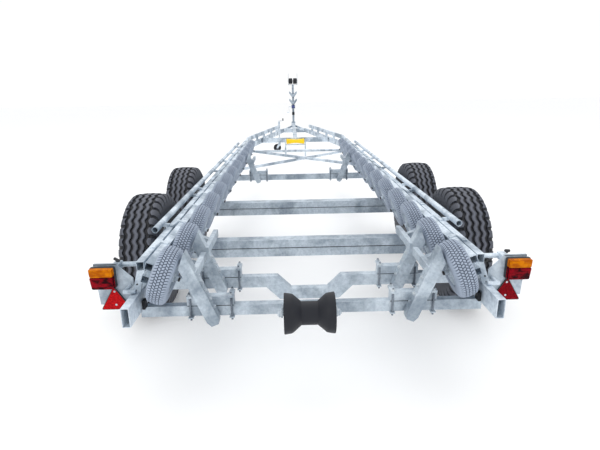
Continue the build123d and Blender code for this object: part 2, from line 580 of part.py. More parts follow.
# columns: name, station of the beam's rear face, beam depth, beam height,
# x of the strut's middle at height 440, foot height, head height,
# station of the gap the arm uses
STRUTS = [
    ("rear", REAR_BEAM, REAR_BEAM_D, REAR_BEAM_H, 509, 409, 790, BW_FIRST + 0.5 * BW_PITCH),
    ("mid", DROP_BEAM, DROP_BEAM_D, DROP_BEAM_H, 516, 412, 785, BW_FIRST + 1.5 * BW_PITCH),
    ("front", FRONT_BEAM, DROP_BEAM_D, DROP_BEAM_H, 531, 400, 775, BW_FIRST + 9.5 * BW_PITCH),
]
for name, station, depth, height, mid_x, foot_z, head_z, gap in STRUTS:
    rear_face = station - 10 - STRUT_D
    foot_x = mid_x + (foot_z - 440) * tan(radians(STRUT_LEAN))
    head_x = mid_x + (head_z - 440) * tan(radians(STRUT_LEAN))
    with BuildPart() as struts:
        for sx in (-1, 1):
            # clamp box across the beam's top, with its rods, feet and end ears
            with BuildSketch(facing(station - 2)):
                rect(sx * CLAMP_IN, sx * CLAMP_OUT, RAIL_BOTTOM, RAIL_BOTTOM + CLAMP_H)
            extrude(amount=depth + 4)
            for x in CLAMP_RODS:
                # rods end just under the beam, below a thin plate
                rod_low, rod_high = RAIL_BOTTOM - height - 18, RAIL_BOTTOM + CLAMP_H + 26
                for s in (station - 10, station + depth + 10):
                    with Locations((sx * x, at(s), (rod_low + rod_high) / 2)):
                        Cylinder(5, rod_high - rod_low)
                with Locations((sx * x, at(station + depth / 2), RAIL_BOTTOM - height - 3)):
                    Box(26, depth + 40, 6)
                with Locations((sx * x, at(station + depth / 2), RAIL_BOTTOM + CLAMP_H + 6)):
                    Box(28, depth + 40, 12)
            # strut, its top corner cut along the tyre's side
            dx, dz = head_x - foot_x, head_z - foot_z
            run = hypot(dx, dz)
            nx, nz = dz / run * STRUT_W / 2, -dx / run * STRUT_W / 2
            side_x = BW_X - (BW_W / 2 + 9) / cos(radians(TILT))
            cut = [(side_x - (z - BW_Z) * tan(radians(TILT)), z) for z in (600, 900)]
            with BuildSketch(facing(rear_face)):
                # the foot's end is square with both corners bevelled
                ux, uz = dx / run * FOOT_BEVEL_H, dz / run * FOOT_BEVEL_H
                k = 1 - FOOT_BEVEL_W / (STRUT_W / 2)
                with BuildLine():
                    Polyline((-sx * (foot_x - nx + ux), foot_z - nz + uz), (-sx * (head_x - nx), head_z - nz), (-sx * (head_x + nx), head_z + nz),
                             (-sx * (foot_x + nx + ux), foot_z + nz + uz), (-sx * (foot_x + nx * k), foot_z + nz * k),
                             (-sx * (foot_x - nx * k), foot_z - nz * k), close=True)
                make_face()
                with BuildLine():
                    Polyline((-sx * cut[0][0], cut[0][1]), (-sx * cut[1][0], cut[1][1]), (-sx * 900, 900), (-sx * 900, 600), close=True)
                make_face(mode=Mode.SUBTRACT)
            extrude(amount=STRUT_D + 8)
            # tube from the strut's head forward to the gap between two wheels
            low = BW_Z - 8
            with BuildSketch(facing(rear_face + 6)):
                with BuildLine():
                    Polyline((-sx * 572, low), (-sx * 612, low), (-sx * 600, low + 44), (-sx * 572, low + 44), close=True)
                make_face()
            extrude(amount=gap + 20 - rear_face - 6)
            # arm across the wheel row to the bunk
            arm = lean_plane(sx, gap)
            with BuildSketch(arm.offset(-20)):
                with Locations(((HEAD_U - 18 + BUNK_U - BUNK_TUBE / 2) / 2, 6)):
                    Rectangle(BUNK_U - BUNK_TUBE / 2 - HEAD_U + 18, 40)
            extrude(amount=40)
            # link that joins the tube to the arm's inboard end
            with BuildSketch(facing(gap - 20)):
                with BuildLine():
                    Polyline((-sx * 584, low + 10), (-sx * 611, low + 10), (-sx * 628, 626), (-sx * 612, 620), close=True)
                make_face()
            extrude(amount=40)
    struts.part.label = f"{name}_bunk_struts"
    export_step(struts.part, f"parts/{name}_bunk_struts.step")

# ------------------------------------------------------------- keel roller
with BuildPart() as keel_roller:
    with BuildSketch(Plane(origin=(KEEL_X, at(KEEL_STATION), KEEL_Z), x_dir=(1, 0, 0), z_dir=(0, -1, 0))):
        with BuildLine():
            Polyline((-124, 10.5), (-124, KEEL_R), (-84, KEEL_R - 6), (-40, KEEL_CORE_R), (40, KEEL_CORE_R), (84, KEEL_R - 6), (124, KEEL_R), (124, 10.5), close=True)
        make_face()
    revolve(axis=Axis((0, at(KEEL_STATION), KEEL_Z), (1, 0, 0)), revolution_arc=360)
keel_roller.part.label = "keel_roller"
export_step(keel_roller.part, "parts/keel_roller.step")

with BuildPart() as nose_roller:
    with BuildSketch(Plane(origin=(0, at(NOSE_ROLLER_STATION), NOSE_ROLLER_Z), x_dir=(1, 0, 0), z_dir=(0, -1, 0))):
        with BuildLine():
            Polyline((-183, 9.5), (-183, NOSE_ROLLER_R), (-20, 36), (20, 36), (183, NOSE_ROLLER_R), (183, 9.5), close=True)
        make_face()
    revolve(axis=Axis((0, at(NOSE_ROLLER_STATION), NOSE_ROLLER_Z), (1, 0, 0)), revolution_arc=360)
nose_roller.part.label = "nose_roller"
export_step(nose_roller.part, "parts/nose_roller.step")

# ------------------------------------------------------------ light boards
BOARD = 235.0             # station of the board's rear face
for name, side in SIDES.items():
    with BuildPart() as board:
        # upper arm from the top rail
        with BuildSketch(Plane.YZ.offset(RAIL_X if side > 0 else -RAIL_X - 115)):
            with Locations((at(290), 700)):
                Circle(13)
        extrude(amount=115)
        # lower arm across the main rail, then forward to the board
        with BuildSketch(Plane.YZ.offset(RAIL_X - 26 if side > 0 else -RAIL_X - 40)):
            with Locations((at(160), RAIL_TOP + 11)):
                Circle(11)
        extrude(amount=66)
        with BuildSketch(facing(160)):
            with Locations((-side * 929, RAIL_TOP + 11)):
                Circle(11)
        extrude(amount=BOARD - 160)
        # board plate
        with BuildSketch(facing(BOARD)):
            with BuildLine():
                Polyline((-side * 1102, 722), (-side * 985, 722), (-side * 909, 645), (-side * 912, 570), (-side * 950, 505), (-side * 1092, 500), close=True)
            make_face()
        extrude(amount=4)
        # bracket behind the board that grips the upper arm
        with Locations((side * 995, at((BOARD + 306) / 2), 700)):
            Box(36, 306 - BOARD, 34)
        # lamp body
        with BuildSketch(facing(BOARD - 42)):
            rect(side * 993, side * 1116, 600, 710)
        extrude(amount=42)
        # triangular reflector
        with BuildSketch(facing(BOARD - 8)):
            with BuildLine():
                Polyline((-side * 1012, 604), (-side * 1090, 474), (-side * 934, 474), close=True)
            make_face()
        extrude(amount=8)
    board.part.label = f"{name}_light_board"
    export_step(board.part, f"parts/{name}_light_board.step")

# ------------------------------------------------------------ jockey wheel
with BuildPart() as jockey_leg:
    with Locations((JOCKEY_X, at(JOCKEY_STATION), (224 + 520) / 2)):
        Cylinder(19, 520 - 224)
    with Locations((JOCKEY_X, at(JOCKEY_STATION), 228)):
        Cylinder(25, 8)
    with Locations((JOCKEY_X, at(JOCKEY_STATION), 214)):
        Cylinder(9, 24)
jockey_leg.part.label = "jockey_leg"
export_step(jockey_leg.part, "parts/jockey_leg.step")

with BuildPart() as jockey_fork:
    with Locations((JOCKEY_X, at(JOCKEY_STATION), 212)):
        Cylinder(26, 10)
    for sy in (-1, 1):
        with BuildSketch(Plane.XZ.offset(-(at(JOCKEY_STATION) + sy * 41 + 3))):
            with BuildLine():
                Polyline((JOCKEY_X - 30, 217), (JOCKEY_X + 30, 217), (JOCKEY_X + 30, 190), (JOCKEY_X - JOCKEY_TRAIL + 16, 84), (JOCKEY_X - JOCKEY_TRAIL - 16, 84), (JOCKEY_X - JOCKEY_TRAIL - 16, 120), close=True)
            make_face()
        extrude(amount=6)
    with Locations((JOCKEY_X, at(JOCKEY_STATION), 214)):
        Box(60, 88, 6)
    with Locations((JOCKEY_X, at(JOCKEY_STATION), 212)):
        Cylinder(9.5, 30, mode=Mode.SUBTRACT)
    with BuildSketch(Plane.XZ.offset(-(at(JOCKEY_STATION) + 50))):
        with Locations((JOCKEY_X - JOCKEY_TRAIL, JOCKEY_WHEEL_R)):
            Circle(8)
    extrude(amount=100)
jockey_fork.part.label = "jockey_fork"
export_step(jockey_fork.part, "parts/jockey_fork.step")

with BuildPart() as jockey_wheel:
    with BuildSketch(Plane(origin=(JOCKEY_X - JOCKEY_TRAIL, at(JOCKEY_STATION), JOCKEY_WHEEL_R), x_dir=(0, 1, 0), z_dir=(1, 0, 0))):
        with BuildLine():
            Polyline((-32, 8.5), (-32, 20), (-10, 24), (-10, 58), (-26, 64))
            ThreePointArc((-26, 64), (-31, 80), (-22, 94))
            ThreePointArc((-22, 94), (0, JOCKEY_WHEEL_R), (22, 94))
            ThreePointArc((22, 94), (31, 80), (26, 64))
            Polyline((26, 64), (10, 58), (10, 24), (32, 20), (32, 8.5), (-32, 8.5))
        make_face()
    revolve(axis=Axis((JOCKEY_X - JOCKEY_TRAIL, 0, JOCKEY_WHEEL_R), (0, 1, 0)), revolution_arc=360)
jockey_wheel.part.label = "jockey_wheel"
export_step(jockey_wheel.part, "parts/jockey_wheel.step")
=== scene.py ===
import bpy, bmesh
import numpy as np
from math import sin, cos, tan, pi, radians, hypot, atan2
from mathutils import Matrix, Vector


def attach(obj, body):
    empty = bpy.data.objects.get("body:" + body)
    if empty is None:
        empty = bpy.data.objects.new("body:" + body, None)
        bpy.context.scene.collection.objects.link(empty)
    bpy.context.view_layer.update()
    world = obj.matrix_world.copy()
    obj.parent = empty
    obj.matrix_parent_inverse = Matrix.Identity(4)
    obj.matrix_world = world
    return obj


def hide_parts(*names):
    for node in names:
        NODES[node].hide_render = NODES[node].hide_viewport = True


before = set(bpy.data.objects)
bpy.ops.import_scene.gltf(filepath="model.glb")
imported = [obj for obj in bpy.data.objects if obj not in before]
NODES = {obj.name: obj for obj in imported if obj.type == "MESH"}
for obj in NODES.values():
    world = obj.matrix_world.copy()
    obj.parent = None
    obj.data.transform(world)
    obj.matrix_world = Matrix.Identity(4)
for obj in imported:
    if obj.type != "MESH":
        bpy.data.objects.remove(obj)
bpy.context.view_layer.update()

Y_MID = 6.3015
SIDES = {"left": -1, "right": 1}


def at(station):
    """Y of a station, in metres forward of the rear end of the main rails."""
    return station - Y_MID


# ------------------------------------------------------------------ materials
def new_mat(name, color, rough, metal=0.0):
    m = bpy.data.materials.new(name)
    m.use_nodes = True
    b = m.node_tree.nodes["Principled BSDF"]
    b.inputs["Base Color"].default_value = (*color, 1)
    b.inputs["Roughness"].default_value = rough
    b.inputs["Metallic"].default_value = metal
    return m, m.node_tree, b


def coords(nt, scale=(1, 1, 1)):
    tc = nt.nodes.new("ShaderNodeTexCoord")
    mp = nt.nodes.new("ShaderNodeMapping")
    mp.inputs["Scale"].default_value = scale
    nt.links.new(tc.outputs["Object"], mp.inputs["Vector"])
    return mp.outputs["Vector"]


def noise(nt, vec, scale, detail=4.0, rough=0.55):
    n = nt.nodes.new("ShaderNodeTexNoise")
    n.inputs["Scale"].default_value = scale
    n.inputs["Detail"].default_value = detail
    n.inputs["Roughness"].default_value = rough
    nt.links.new(vec, n.inputs["Vector"])
    return n.outputs["Fac"]


def ramp(nt, fac, stops):
    r = nt.nodes.new("ShaderNodeValToRGB")
    e = r.color_ramp.elements
    while len(e) < len(stops):
        e.new(0.5)
    for k, (p, c) in enumerate(stops):
        e[k].position = p
        e[k].color = (*c, 1) if len(c) == 3 else c
    nt.links.new(fac, r.inputs["Fac"])
    return r.outputs["Color"]


def mix(nt, a, b, fac, mode="MIX"):
    x = nt.nodes.new("ShaderNodeMix")
    x.data_type = "RGBA"
    x.blend_type = mode
    for sock, val in ((x.inputs[6], a), (x.inputs[7], b), (x.inputs[0], fac)):
        if hasattr(val, "links") or hasattr(val, "is_linked"):
            nt.links.new(val, sock)
        elif isinstance(val, tuple):
            sock.default_value = (*val, 1)
        else:
            sock.default_value = val
    return x.outputs[2]


def map_range(nt, fac, lo, hi):
    m = nt.nodes.new("ShaderNodeMapRange")
    m.inputs["To Min"].default_value = lo
    m.inputs["To Max"].default_value = hi
    nt.links.new(fac, m.inputs["Value"])
    return m.outputs["Result"]


def bump(nt, bsdf, height, strength, distance):
    b = nt.nodes.new("ShaderNodeBump")
    b.inputs["Strength"].default_value = strength
    b.inputs["Distance"].default_value = distance
    nt.links.new(height, b.inputs["Height"])
    nt.links.new(b.outputs["Normal"], bsdf.inputs["Normal"])


def galvanised(name, dark, light, metal=0.35, spangle=70.0):
    """Hot-dip zinc: small crystal facets, cloudy stains, and slight runs."""
    m, nt, b = new_mat(name, light, 0.5, metal)
    vec = coords(nt)
    v = nt.nodes.new("ShaderNodeTexVoronoi")
    v.inputs["Scale"].default_value = spangle
    nt.links.new(vec, v.inputs["Vector"])
    cells = nt.nodes.new("ShaderNodeSeparateColor")
    nt.links.new(v.outputs["Color"], cells.inputs["Color"])
    cloud = noise(nt, vec, 5.0, 6.0)
    streak = noise(nt, coords(nt, (9, 1.2, 3)), 2.2, 5.0)
    base = ramp(nt, cloud, [(0.40, dark), (0.56, light)])
    facets = ramp(nt, cells.outputs[0], [(0.0, (0.86, 0.87, 0.89)), (1.0, (1.0, 1.0, 1.0))])
    base = mix(nt, base, facets, 0.75, "MULTIPLY")
    stain = ramp(nt, streak, [(0.40, (0.84, 0.86, 0.88)), (0.60, (1.0, 1.0, 1.0))])
    base = mix(nt, base, stain, 0.7, "MULTIPLY")
    grain = ramp(nt, noise(nt, vec, 55.0, 6.0, 0.7), [(0.38, (0.70, 0.73, 0.77)), (0.56, (1.0, 1.0, 1.0))])
    nt.links.new(mix(nt, base, grain, 0.75, "MULTIPLY"), b.inputs["Base Color"])
    nt.links.new(map_range(nt, cells.outputs[1], 0.36, 0.56), b.inputs["Roughness"])
    bump(nt, b, noise(nt, vec, 140.0, 3.0), 0.12, 0.0015)
    return m


def rubber(name, low, high, rough=(0.62, 0.85), dust=(0.30, 0.31, 0.33), dust_amount=0.25, attr="shade", specular=0.5):
    """Rubber mixed from its low to its high colour by the shade attribute: painted highlight on the raised tread,
    painted shade in the grooves.
    """
    m, nt, b = new_mat(name, low, rough[0])
    vec = coords(nt)
    # the shade attribute paints light and shade into the colour: painted highlight where it is high, painted shade
    # where it is low; the dust patches are real dust
    a = nt.nodes.new("ShaderNodeAttribute")
    a.attribute_name = attr
    base = mix(nt, low, high, a.outputs["Fac"])
    fine = noise(nt, vec, 38.0, 5.0)
    base = mix(nt, base, ramp(nt, fine, [(0.3, (0.78, 0.78, 0.79)), (0.7, (1.0, 1.0, 1.0))]), 0.8, "MULTIPLY")
    patch = nt.nodes.new("ShaderNodeMath")
    patch.operation = "MULTIPLY"
    patch.inputs[1].default_value = dust_amount
    nt.links.new(noise(nt, vec, 7.0, 5.0), patch.inputs[0])
    nt.links.new(mix(nt, base, dust, patch.outputs[0]), b.inputs["Base Color"])
    nt.links.new(map_range(nt, fine, *rough), b.inputs["Roughness"])
    b.inputs["Specular IOR Level"].default_value = specular
    bump(nt, b, noise(nt, vec, 420.0, 2.0), 0.25, 0.0006)
    return m


GALV = galvanised("galvanised_steel", (0.34, 0.405, 0.47), (0.76, 0.835, 0.90))
GALV_DULL = galvanised("galvanised_plate", (0.30, 0.355, 0.41), (0.56, 0.63, 0.69), 0.3, 45.0)
# darkest copy of the galvanised finish, used on the bow post
GALV_DARK = galvanised("darker_zinc", (0.16, 0.20, 0.25), (0.42, 0.48, 0.54), 0.3, 60.0)
ROD = galvanised("dark_threaded_rod", (0.07, 0.085, 0.11), (0.20, 0.23, 0.27), 0.5, 300.0)
ZINC = galvanised("zinc_plated_fastener", (0.52, 0.57, 0.62), (0.76, 0.80, 0.82), 0.75, 200.0)
ROAD = rubber("road_tyre_rubber", (0.003, 0.004, 0.008), (0.112, 0.122, 0.155), (0.5, 0.75), dust_amount=0.04)
GREY = rubber("grey_support_tyre", (0.085, 0.110, 0.160), (0.375, 0.440, 0.545), (0.55, 0.8), (0.45, 0.50, 0.57), 0.12)
BLACK = rubber("black_roller_rubber", (0.002, 0.0025, 0.005), (0.008, 0.0095, 0.016), (0.42, 0.62), (0.045, 0.050, 0.066), 0.16, specular=0.32)


def plastic(name, low, high, rough, scale=30.0, depth=0.15, coat=0.0):
    m, nt, b = new_mat(name, high, rough[0])
    vec = coords(nt)
    n = noise(nt, vec, scale, 4.0)
    nt.links.new(ramp(nt, n, [(0.3, low), (0.7, high)]), b.inputs["Base Color"])
    nt.links.new(map_range(nt, n, *rough), b.inputs["Roughness"])
    b.inputs["Coat Weight"].default_value = coat
    bump(nt, b, noise(nt, vec, 300.0, 2.0), depth, 0.0005)
    return m


def lens(name, low, high, lines=520.0, blotch=0.55):
    """Lamp lens with fine moulded prisms."""
    m, nt, b = new_mat(name, high, 0.16)
    vec = coords(nt)
    w = nt.nodes.new("ShaderNodeTexWave")
    w.inputs["Scale"].default_value = lines / 6.3
    w.bands_direction = "X"
    nt.links.new(vec, w.inputs["Vector"])
    # base colour striped from low to high across the moulded prisms: painted highlights on the prism ridges; noise
    # blotches pull it toward the low colour
    nt.links.new(mix(nt, ramp(nt, w.outputs["Fac"], [(0.1, low), (0.7, high)]), low, ramp(nt, noise(nt, coords(nt, (1, 1, 2.2)), 24.0), [(0.42, (0, 0, 0)), (0.60, (blotch, blotch, blotch))])), b.inputs["Base Color"])
    nt.links.new(map_range(nt, w.outputs["Fac"], 0.12, 0.28), b.inputs["Roughness"])
    b.inputs["Specular IOR Level"].default_value = 0.04
    b.inputs["Coat Weight"].default_value = 0.05
    b.inputs["Coat Roughness"].default_value = 0.10
    bump(nt, b, w.outputs["Fac"], 0.3, 0.001)
    return m


YELLOW = plastic("yellow_roller", (0.82, 0.52, 0.0), (0.97, 0.66, 0.0), (0.55, 0.7), 14.0)
PLASTIC = plastic("black_plastic", (0.010, 0.010, 0.012), (0.028, 0.028, 0.032), (0.35, 0.5))
AMBER = lens("amber_lens", (0.34, 0.065, 0.0), (0.80, 0.27, 0.0), blotch=0.85)
RED = lens("red_lens", (0.018, 0.0, 0.002), (0.40, 0.002, 0.012), blotch=1.0)
WEBBING = plastic("blue_webbing", (0.035, 0.045, 0.16), (0.075, 0.095, 0.28), (0.75, 0.9), 90.0, 0.4)
# near-black for painted shadow: inside bolt holes and in thin gaps between parts
PAINTED_SHADOW = plastic("hole_shadow", (0.006, 0.006, 0.007), (0.012, 0.012, 0.014), (0.8, 0.95))


def reflector(name, low, high):
    """Reflector face: a fine honeycomb of prisms under a clear coat."""
    m, nt, b = new_mat(name, high, 0.25)
    vec = coords(nt)
    v = nt.nodes.new("ShaderNodeTexVoronoi")
    v.inputs["Scale"].default_value = 260.0
    v.inputs["Randomness"].default_value = 0.15
    nt.links.new(vec, v.inputs["Vector"])
    cells = nt.nodes.new("ShaderNodeSeparateColor")
    nt.links.new(v.outputs["Color"], cells.inputs["Color"])
    nt.links.new(ramp(nt, cells.outputs[0], [(0.0, low), (1.0, high)]), b.inputs["Base Color"])
    nt.links.new(map_range(nt, cells.outputs[1], 0.18, 0.4), b.inputs["Roughness"])
    b.inputs["Specular IOR Level"].default_value = 0.03
    b.inputs["Coat Weight"].default_value = 0.02
    b.inputs["Coat Roughness"].default_value = 0.15
    bump(nt, b, v.outputs["Distance"], 0.4, 0.001)
    return m


REFLECTS = {"left": reflector("red_reflector", (0.24, 0.002, 0.006), (0.58, 0.010, 0.012)),
            "right": reflector("dark_red_reflector", (0.07, 0.001, 0.004), (0.30, 0.004, 0.010))}


# ------------------------------------------------------------- mesh helpers
def piece(name, verts, faces, material, body, slot=None, shade=None, smooth=True, sharp=35.0):
    me = bpy.data.meshes.new(name)
    me.from_pydata([tuple(map(float, v)) for v in verts], [], [tuple(int(i) for i in f) for f in faces])
    bm = bmesh.new()
    bm.from_mesh(me)
    bmesh.ops.recalc_face_normals(bm, faces=bm.faces)
    bm.to_mesh(me)
    bm.free()
    if shade is not None:
        a = me.attributes.new("shade", "FLOAT", "POINT")
        a.data.foreach_set("value", np.asarray(shade, np.float32))
    o = bpy.data.objects.new(name, me)
    bpy.context.scene.collection.objects.link(o)
    o.data.materials.append(material)
    if smooth:
        me.shade_smooth()
        me.set_sharp_from_angle(angle=radians(sharp))
    if body:
        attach(o, body)
    return o


class Build:
    """Collects simple solids into one mesh."""

    def __init__(self):
        self.v, self.f = [], []

    def add(self, verts, faces):
        n = len(self.v)
        self.v += [tuple(v) for v in verts]
        self.f += [tuple(i + n for i in f) for f in faces]

    def loft(self, rings, close=True):
        n = len(rings[0])
        verts = [p for r in rings for p in r]
        faces = []
        for k in range(len(rings) - 1):
            for j in range(n):
                faces.append((k * n + j, k * n + (j + 1) % n, (k + 1) * n + (j + 1) % n, (k + 1) * n + j))
        if close:
            faces.append(tuple(range(n))[::-1])
            faces.append(tuple((len(rings) - 1) * n + j for j in range(n)))
        self.add(verts, faces)

    def rod(self, p, q, r, n=20, ends=0.0):
        """Round bar from p to q, its ends eased by a small chamfer."""
        p, q = Vector(p), Vector(q)
        a = (q - p).normalized()
        s = a.orthogonal().normalized()
        t = a.cross(s)
        ring = lambda c, rr: [c + s * (rr * cos(2 * pi * k / n)) + t * (rr * sin(2 * pi * k / n)) for k in range(n)]
        e = ends
        rings = [ring(p, r - e), ring(p + a * e, r), ring(q - a * e, r), ring(q, r - e)] if e else [ring(p, r), ring(q, r)]
        self.loft(rings)

    def hexnut(self, c, axis, across, height):
        """Hexagon nut with chamfered corners, from c along axis."""
        c, a = Vector(c), Vector(axis).normalized()
        s = a.orthogonal().normalized()
        t = a.cross(s)
        r = across / 2 / cos(pi / 6)
        ring = lambda z, rr: [c + a * z + s * (rr * cos(2 * pi * k / 6)) + t * (rr * sin(2 * pi * k / 6)) for k in range(6)]
        self.loft([ring(0, r * 0.9), ring(height * 0.14, r), ring(height * 0.86, r), ring(height, r * 0.9)])

    def bolt(self, c, axis, size=0.012, washer=True):
        a = Vector(axis).normalized()
        c = Vector(c)
        if washer:
            self.rod(c, c + a * 0.002, size * 1.15, 18)
            c = c + a * 0.002
        self.hexnut(c, a, size * 1.6, size * 0.7)
        self.rod(c + a * size * 0.7, c + a * size * 1.05, size * 0.42, 12, 0.001)

    def prism(self, outline, depth_dir, chamfer=0.0):
        """Flat outline (3-D points) pushed along depth_dir."""
        d = Vector(depth_dir)
        pts = [Vector(p) for p in outline]
        if chamfer:
            mid = sum(pts, Vector()) / len(pts)
            small = [p + (mid - p).normalized() * chamfer for p in pts]
            u = d.normalized() * chamfer
            self.loft([small, [p + u for p in pts], [p + d - u for p in pts], [p + d for p in small]])
        else:
            self.loft([pts, [p + d for p in pts]])

    def done(self, name, material, body="chassis", slot=None, **k):
        return piece(name, self.v, self.f, material, body, slot, **k)


def rounded(points, r, n=4):
    """Outline with its corners rounded, for a list of 2-D points."""
    out = []
    m = len(points)
    for i in range(m):
        p, a, b = Vector(points[i]), Vector(points[i - 1]), Vector(points[(i + 1) % m])
        u, w = (a - p), (b - p)
        cut = min(r, u.length * 0.45, w.length * 0.45)
        p0, p1 = p + u.normalized() * cut, p + w.normalized() * cut
        for k in range(n + 1):
            t = k / n
            out.append((1 - t) ** 2 * p0 + 2 * t * (1 - t) * p + t * t * p1)
    return out


def ring_rows(rows, cols, place, closed_profile=True):
    """Mesh of revolution-like rows: rows[j](i) gives (along axis, radius, turn, shade)."""
    n, m = len(cols), len(rows)
    verts, shade = [], []
    for i in range(n):
        for j in range(m):
            x, r, dt, s = rows[j](i)
            th = cols[i] + dt
            verts.append(place(x, r, th))
            shade.append(s)
    faces = []
    for i in range(n):
        i2 = (i + 1) % n
        for j in range(m if closed_profile else m - 1):
            j2 = (j + 1) % m
            faces.append((i * m + j, i2 * m + j, i2 * m + j2, i * m + j2))
    return verts, faces, shade


def fixed(x, r, s=0.5):
    return lambda i: (x, r, 0.0, s)


def lathe(name, profile, origin, axis, material, body, n=64, slot=None, shade=0.5, sharp=35.0):
    """Closed profile of (along axis, radius) turned about an axis."""
    o, a = Vector(origin), Vector(axis).normalized()
    s = a.orthogonal().normalized()
    t = a.cross(s)
    place = lambda x, r, th: o + a * x + s * (r * cos(th)) + t * (r * sin(th))
    cols = [2 * pi * k / n for k in range(n)]
    v, f, sh = ring_rows([fixed(x, r, shade) for x, r in profile], cols, place)
    return piece(name, v, f, material, body, slot, sh, sharp=sharp)


# ------------------------------------------------------------ road wheels
TYRE_R, TRACK_X = 0.4225, 1.124
AXLES = {"rear": 1.273, "front": 2.428}
LUGS = 36


def road_tyre_mesh():
    """Tread of three wavy ribs between lugged shoulders, with rounded sidewalls."""
    per = 10
    cols, phase, gap = [], [], []
    for k in range(LUGS):
        # columns bunch up at the walls of the gap between two shoulder lugs
        for u, g in ((0.0, 0), (0.12, 0), (0.24, 0), (0.36, 0), (0.48, 0), (0.54, 0), (0.60, 0), (0.63, 1), (0.92, 1), (0.95, 0)):
            cols.append(2 * pi * (k + u) / LUGS)
            phase.append(u)
            gap.append(g)
    wave = lambda i: sin(2 * pi * phase[i])
    crown = lambda x: TYRE_R - 0.0075 * (abs(x) / 0.098) ** 2.2
    rows = []

    def row(x, depth=0.0, amp=0.0, s=1.0, lug=0.0, r=None, slant=0.0):
        def f(i):
            xx = x + amp * wave(i)
            rr = (crown(xx) if r is None else r) - depth
            ss = s
            # lug gaps painted nearly black: painted shade
            if gap[i] and lug:
                rr -= lug
                ss = 0.05
            return (xx, rr, slant, ss)
        rows.append(f)

    sg = 1
    # inner bead, then the outer side from bead to shoulder, across, and back; the sidewall rows are painted darker
    # toward the bead (painted shade)
    half = [(0.097, 0.178, 0.25), (0.104, 0.212, 0.30), (0.118, 0.240, 0.32), (0.1245, 0.275, 0.34), (0.1258, 0.312, 0.36), (0.1242, 0.345, 0.38)]
    row(-0.087, r=0.178, s=0.1)
    for x, r, s in half:
        row(-x, r=r, s=s)
    row(-0.1212, r=0.366, s=0.45, lug=0.002)
    row(-0.1212, r=0.372, s=0.6, lug=0.008)
    row(-0.1175, r=0.390, s=0.45, lug=0.011)
    row(-0.1105, r=0.404, s=0.5, lug=0.013)
    row(-0.1000, s=0.55, lug=0.013)
    row(-0.0910, s=0.60, lug=0.013)
    row(-0.0830, amp=0.004, s=0.95, lug=0.012)
    A = 0.0075
    # grooves at these places, each with two walls; groove floors painted black (painted shade), rib edges darker and
    # rib centres light (painted highlight)
    for g, w in ((-0.0680, 0.020), (-0.0235, 0.015), (0.0235, 0.015), (0.0680, 0.020)):
        row(g - w / 2 - 0.0015, amp=A, s=0.30)
        row(g - w / 2 + 0.0010, amp=A, depth=0.013, s=0.0)
        row(g + w / 2 - 0.0010, amp=A, depth=0.013, s=0.0)
        row(g + w / 2 + 0.0015, amp=A, s=0.30)
        if g < 0.06:
            row(g + 0.0230, amp=A, s=1.0)
    row(0.0830, amp=0.004, s=0.95, lug=0.012)
    row(0.0910, s=0.60, lug=0.013)
    row(0.1000, s=0.55, lug=0.013)
    row(0.1105, r=0.404, s=0.5, lug=0.013)
    row(0.1175, r=0.390, s=0.45, lug=0.011)
    row(0.1212, r=0.372, s=0.6, lug=0.008)
    row(0.1212, r=0.366, s=0.45, lug=0.002)
    for x, r, s in half[::-1]:
        row(x, r=r, s=s)
    row(0.087, r=0.178, s=0.1)
    place = lambda x, r, th: (x, r * cos(th), r * sin(th))
    return ring_rows(rows, cols, place)


tv, tf, ts = road_tyre_mesh()
tv = np.array(tv)
for end, station in AXLES.items():
    for name, side in SIDES.items():
        body = f"{name}_{end}_wheel"
        c = np.array([side * TRACK_X, at(station), TYRE_R])
        v = tv * np.array([side, 1, 1]) + c
        tyre = piece(f"{body}_tyre", v, tf, ROAD, body, "black_tyre", ts, sharp=28.0)
        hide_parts(body)
        # dished steel rim: well, both flanges, disc and hub
        rim = [(-0.101, 0.186), (-0.094, 0.190), (-0.090, 0.176), (-0.056, 0.164), (0.056, 0.164), (0.090, 0.176), (0.094, 0.190), (0.101, 0.186),
               (0.095, 0.170), (0.058, 0.157), (0.030, 0.154), (0.030, 0.126), (0.022, 0.098), (0.026, 0.072), (0.026, 0.062), (0.020, 0.062),
               (0.018, 0.072), (0.014, 0.098), (0.022, 0.128), (0.020, 0.154), (-0.058, 0.157), (-0.095, 0.170)]
        lathe(f"{body}_rim", [(side * x, r) for x, r in rim], c, (1, 0, 0), GALV_DULL, body, 72)
        hub = [(-0.088, 0.027), (-0.088, 0.060), (0.014, 0.060), (0.020, 0.050), (0.058, 0.046), (0.064, 0.036), (0.066, 0.010), (0.066, 0.001), (0.031, 0.001), (0.031, 0.027)]
        lathe(f"{body}_hub", [(side * x, r) for x, r in hub], c, (1, 0, 0), ZINC, body, 40)
        nuts = Build()
        for k in range(6):
            t = 2 * pi * k / 6
            nuts.bolt((c[0] + side * 0.025, c[1] + 0.082 * cos(t), c[2] + 0.082 * sin(t)), (side, 0, 0), 0.014, False)
        nuts.done(f"{body}_nuts", ZINC, body)

# ----------------------------------------------------------- bunk wheels
TILT = radians(21.0)
BW_R, BW_W, BW_X, BW_Z = 0.1515, 0.1045, 0.742, 0.663
BW_FIRST, BW_PITCH, BW_COUNT = 0.220, 0.413, 13
TEETH = 62


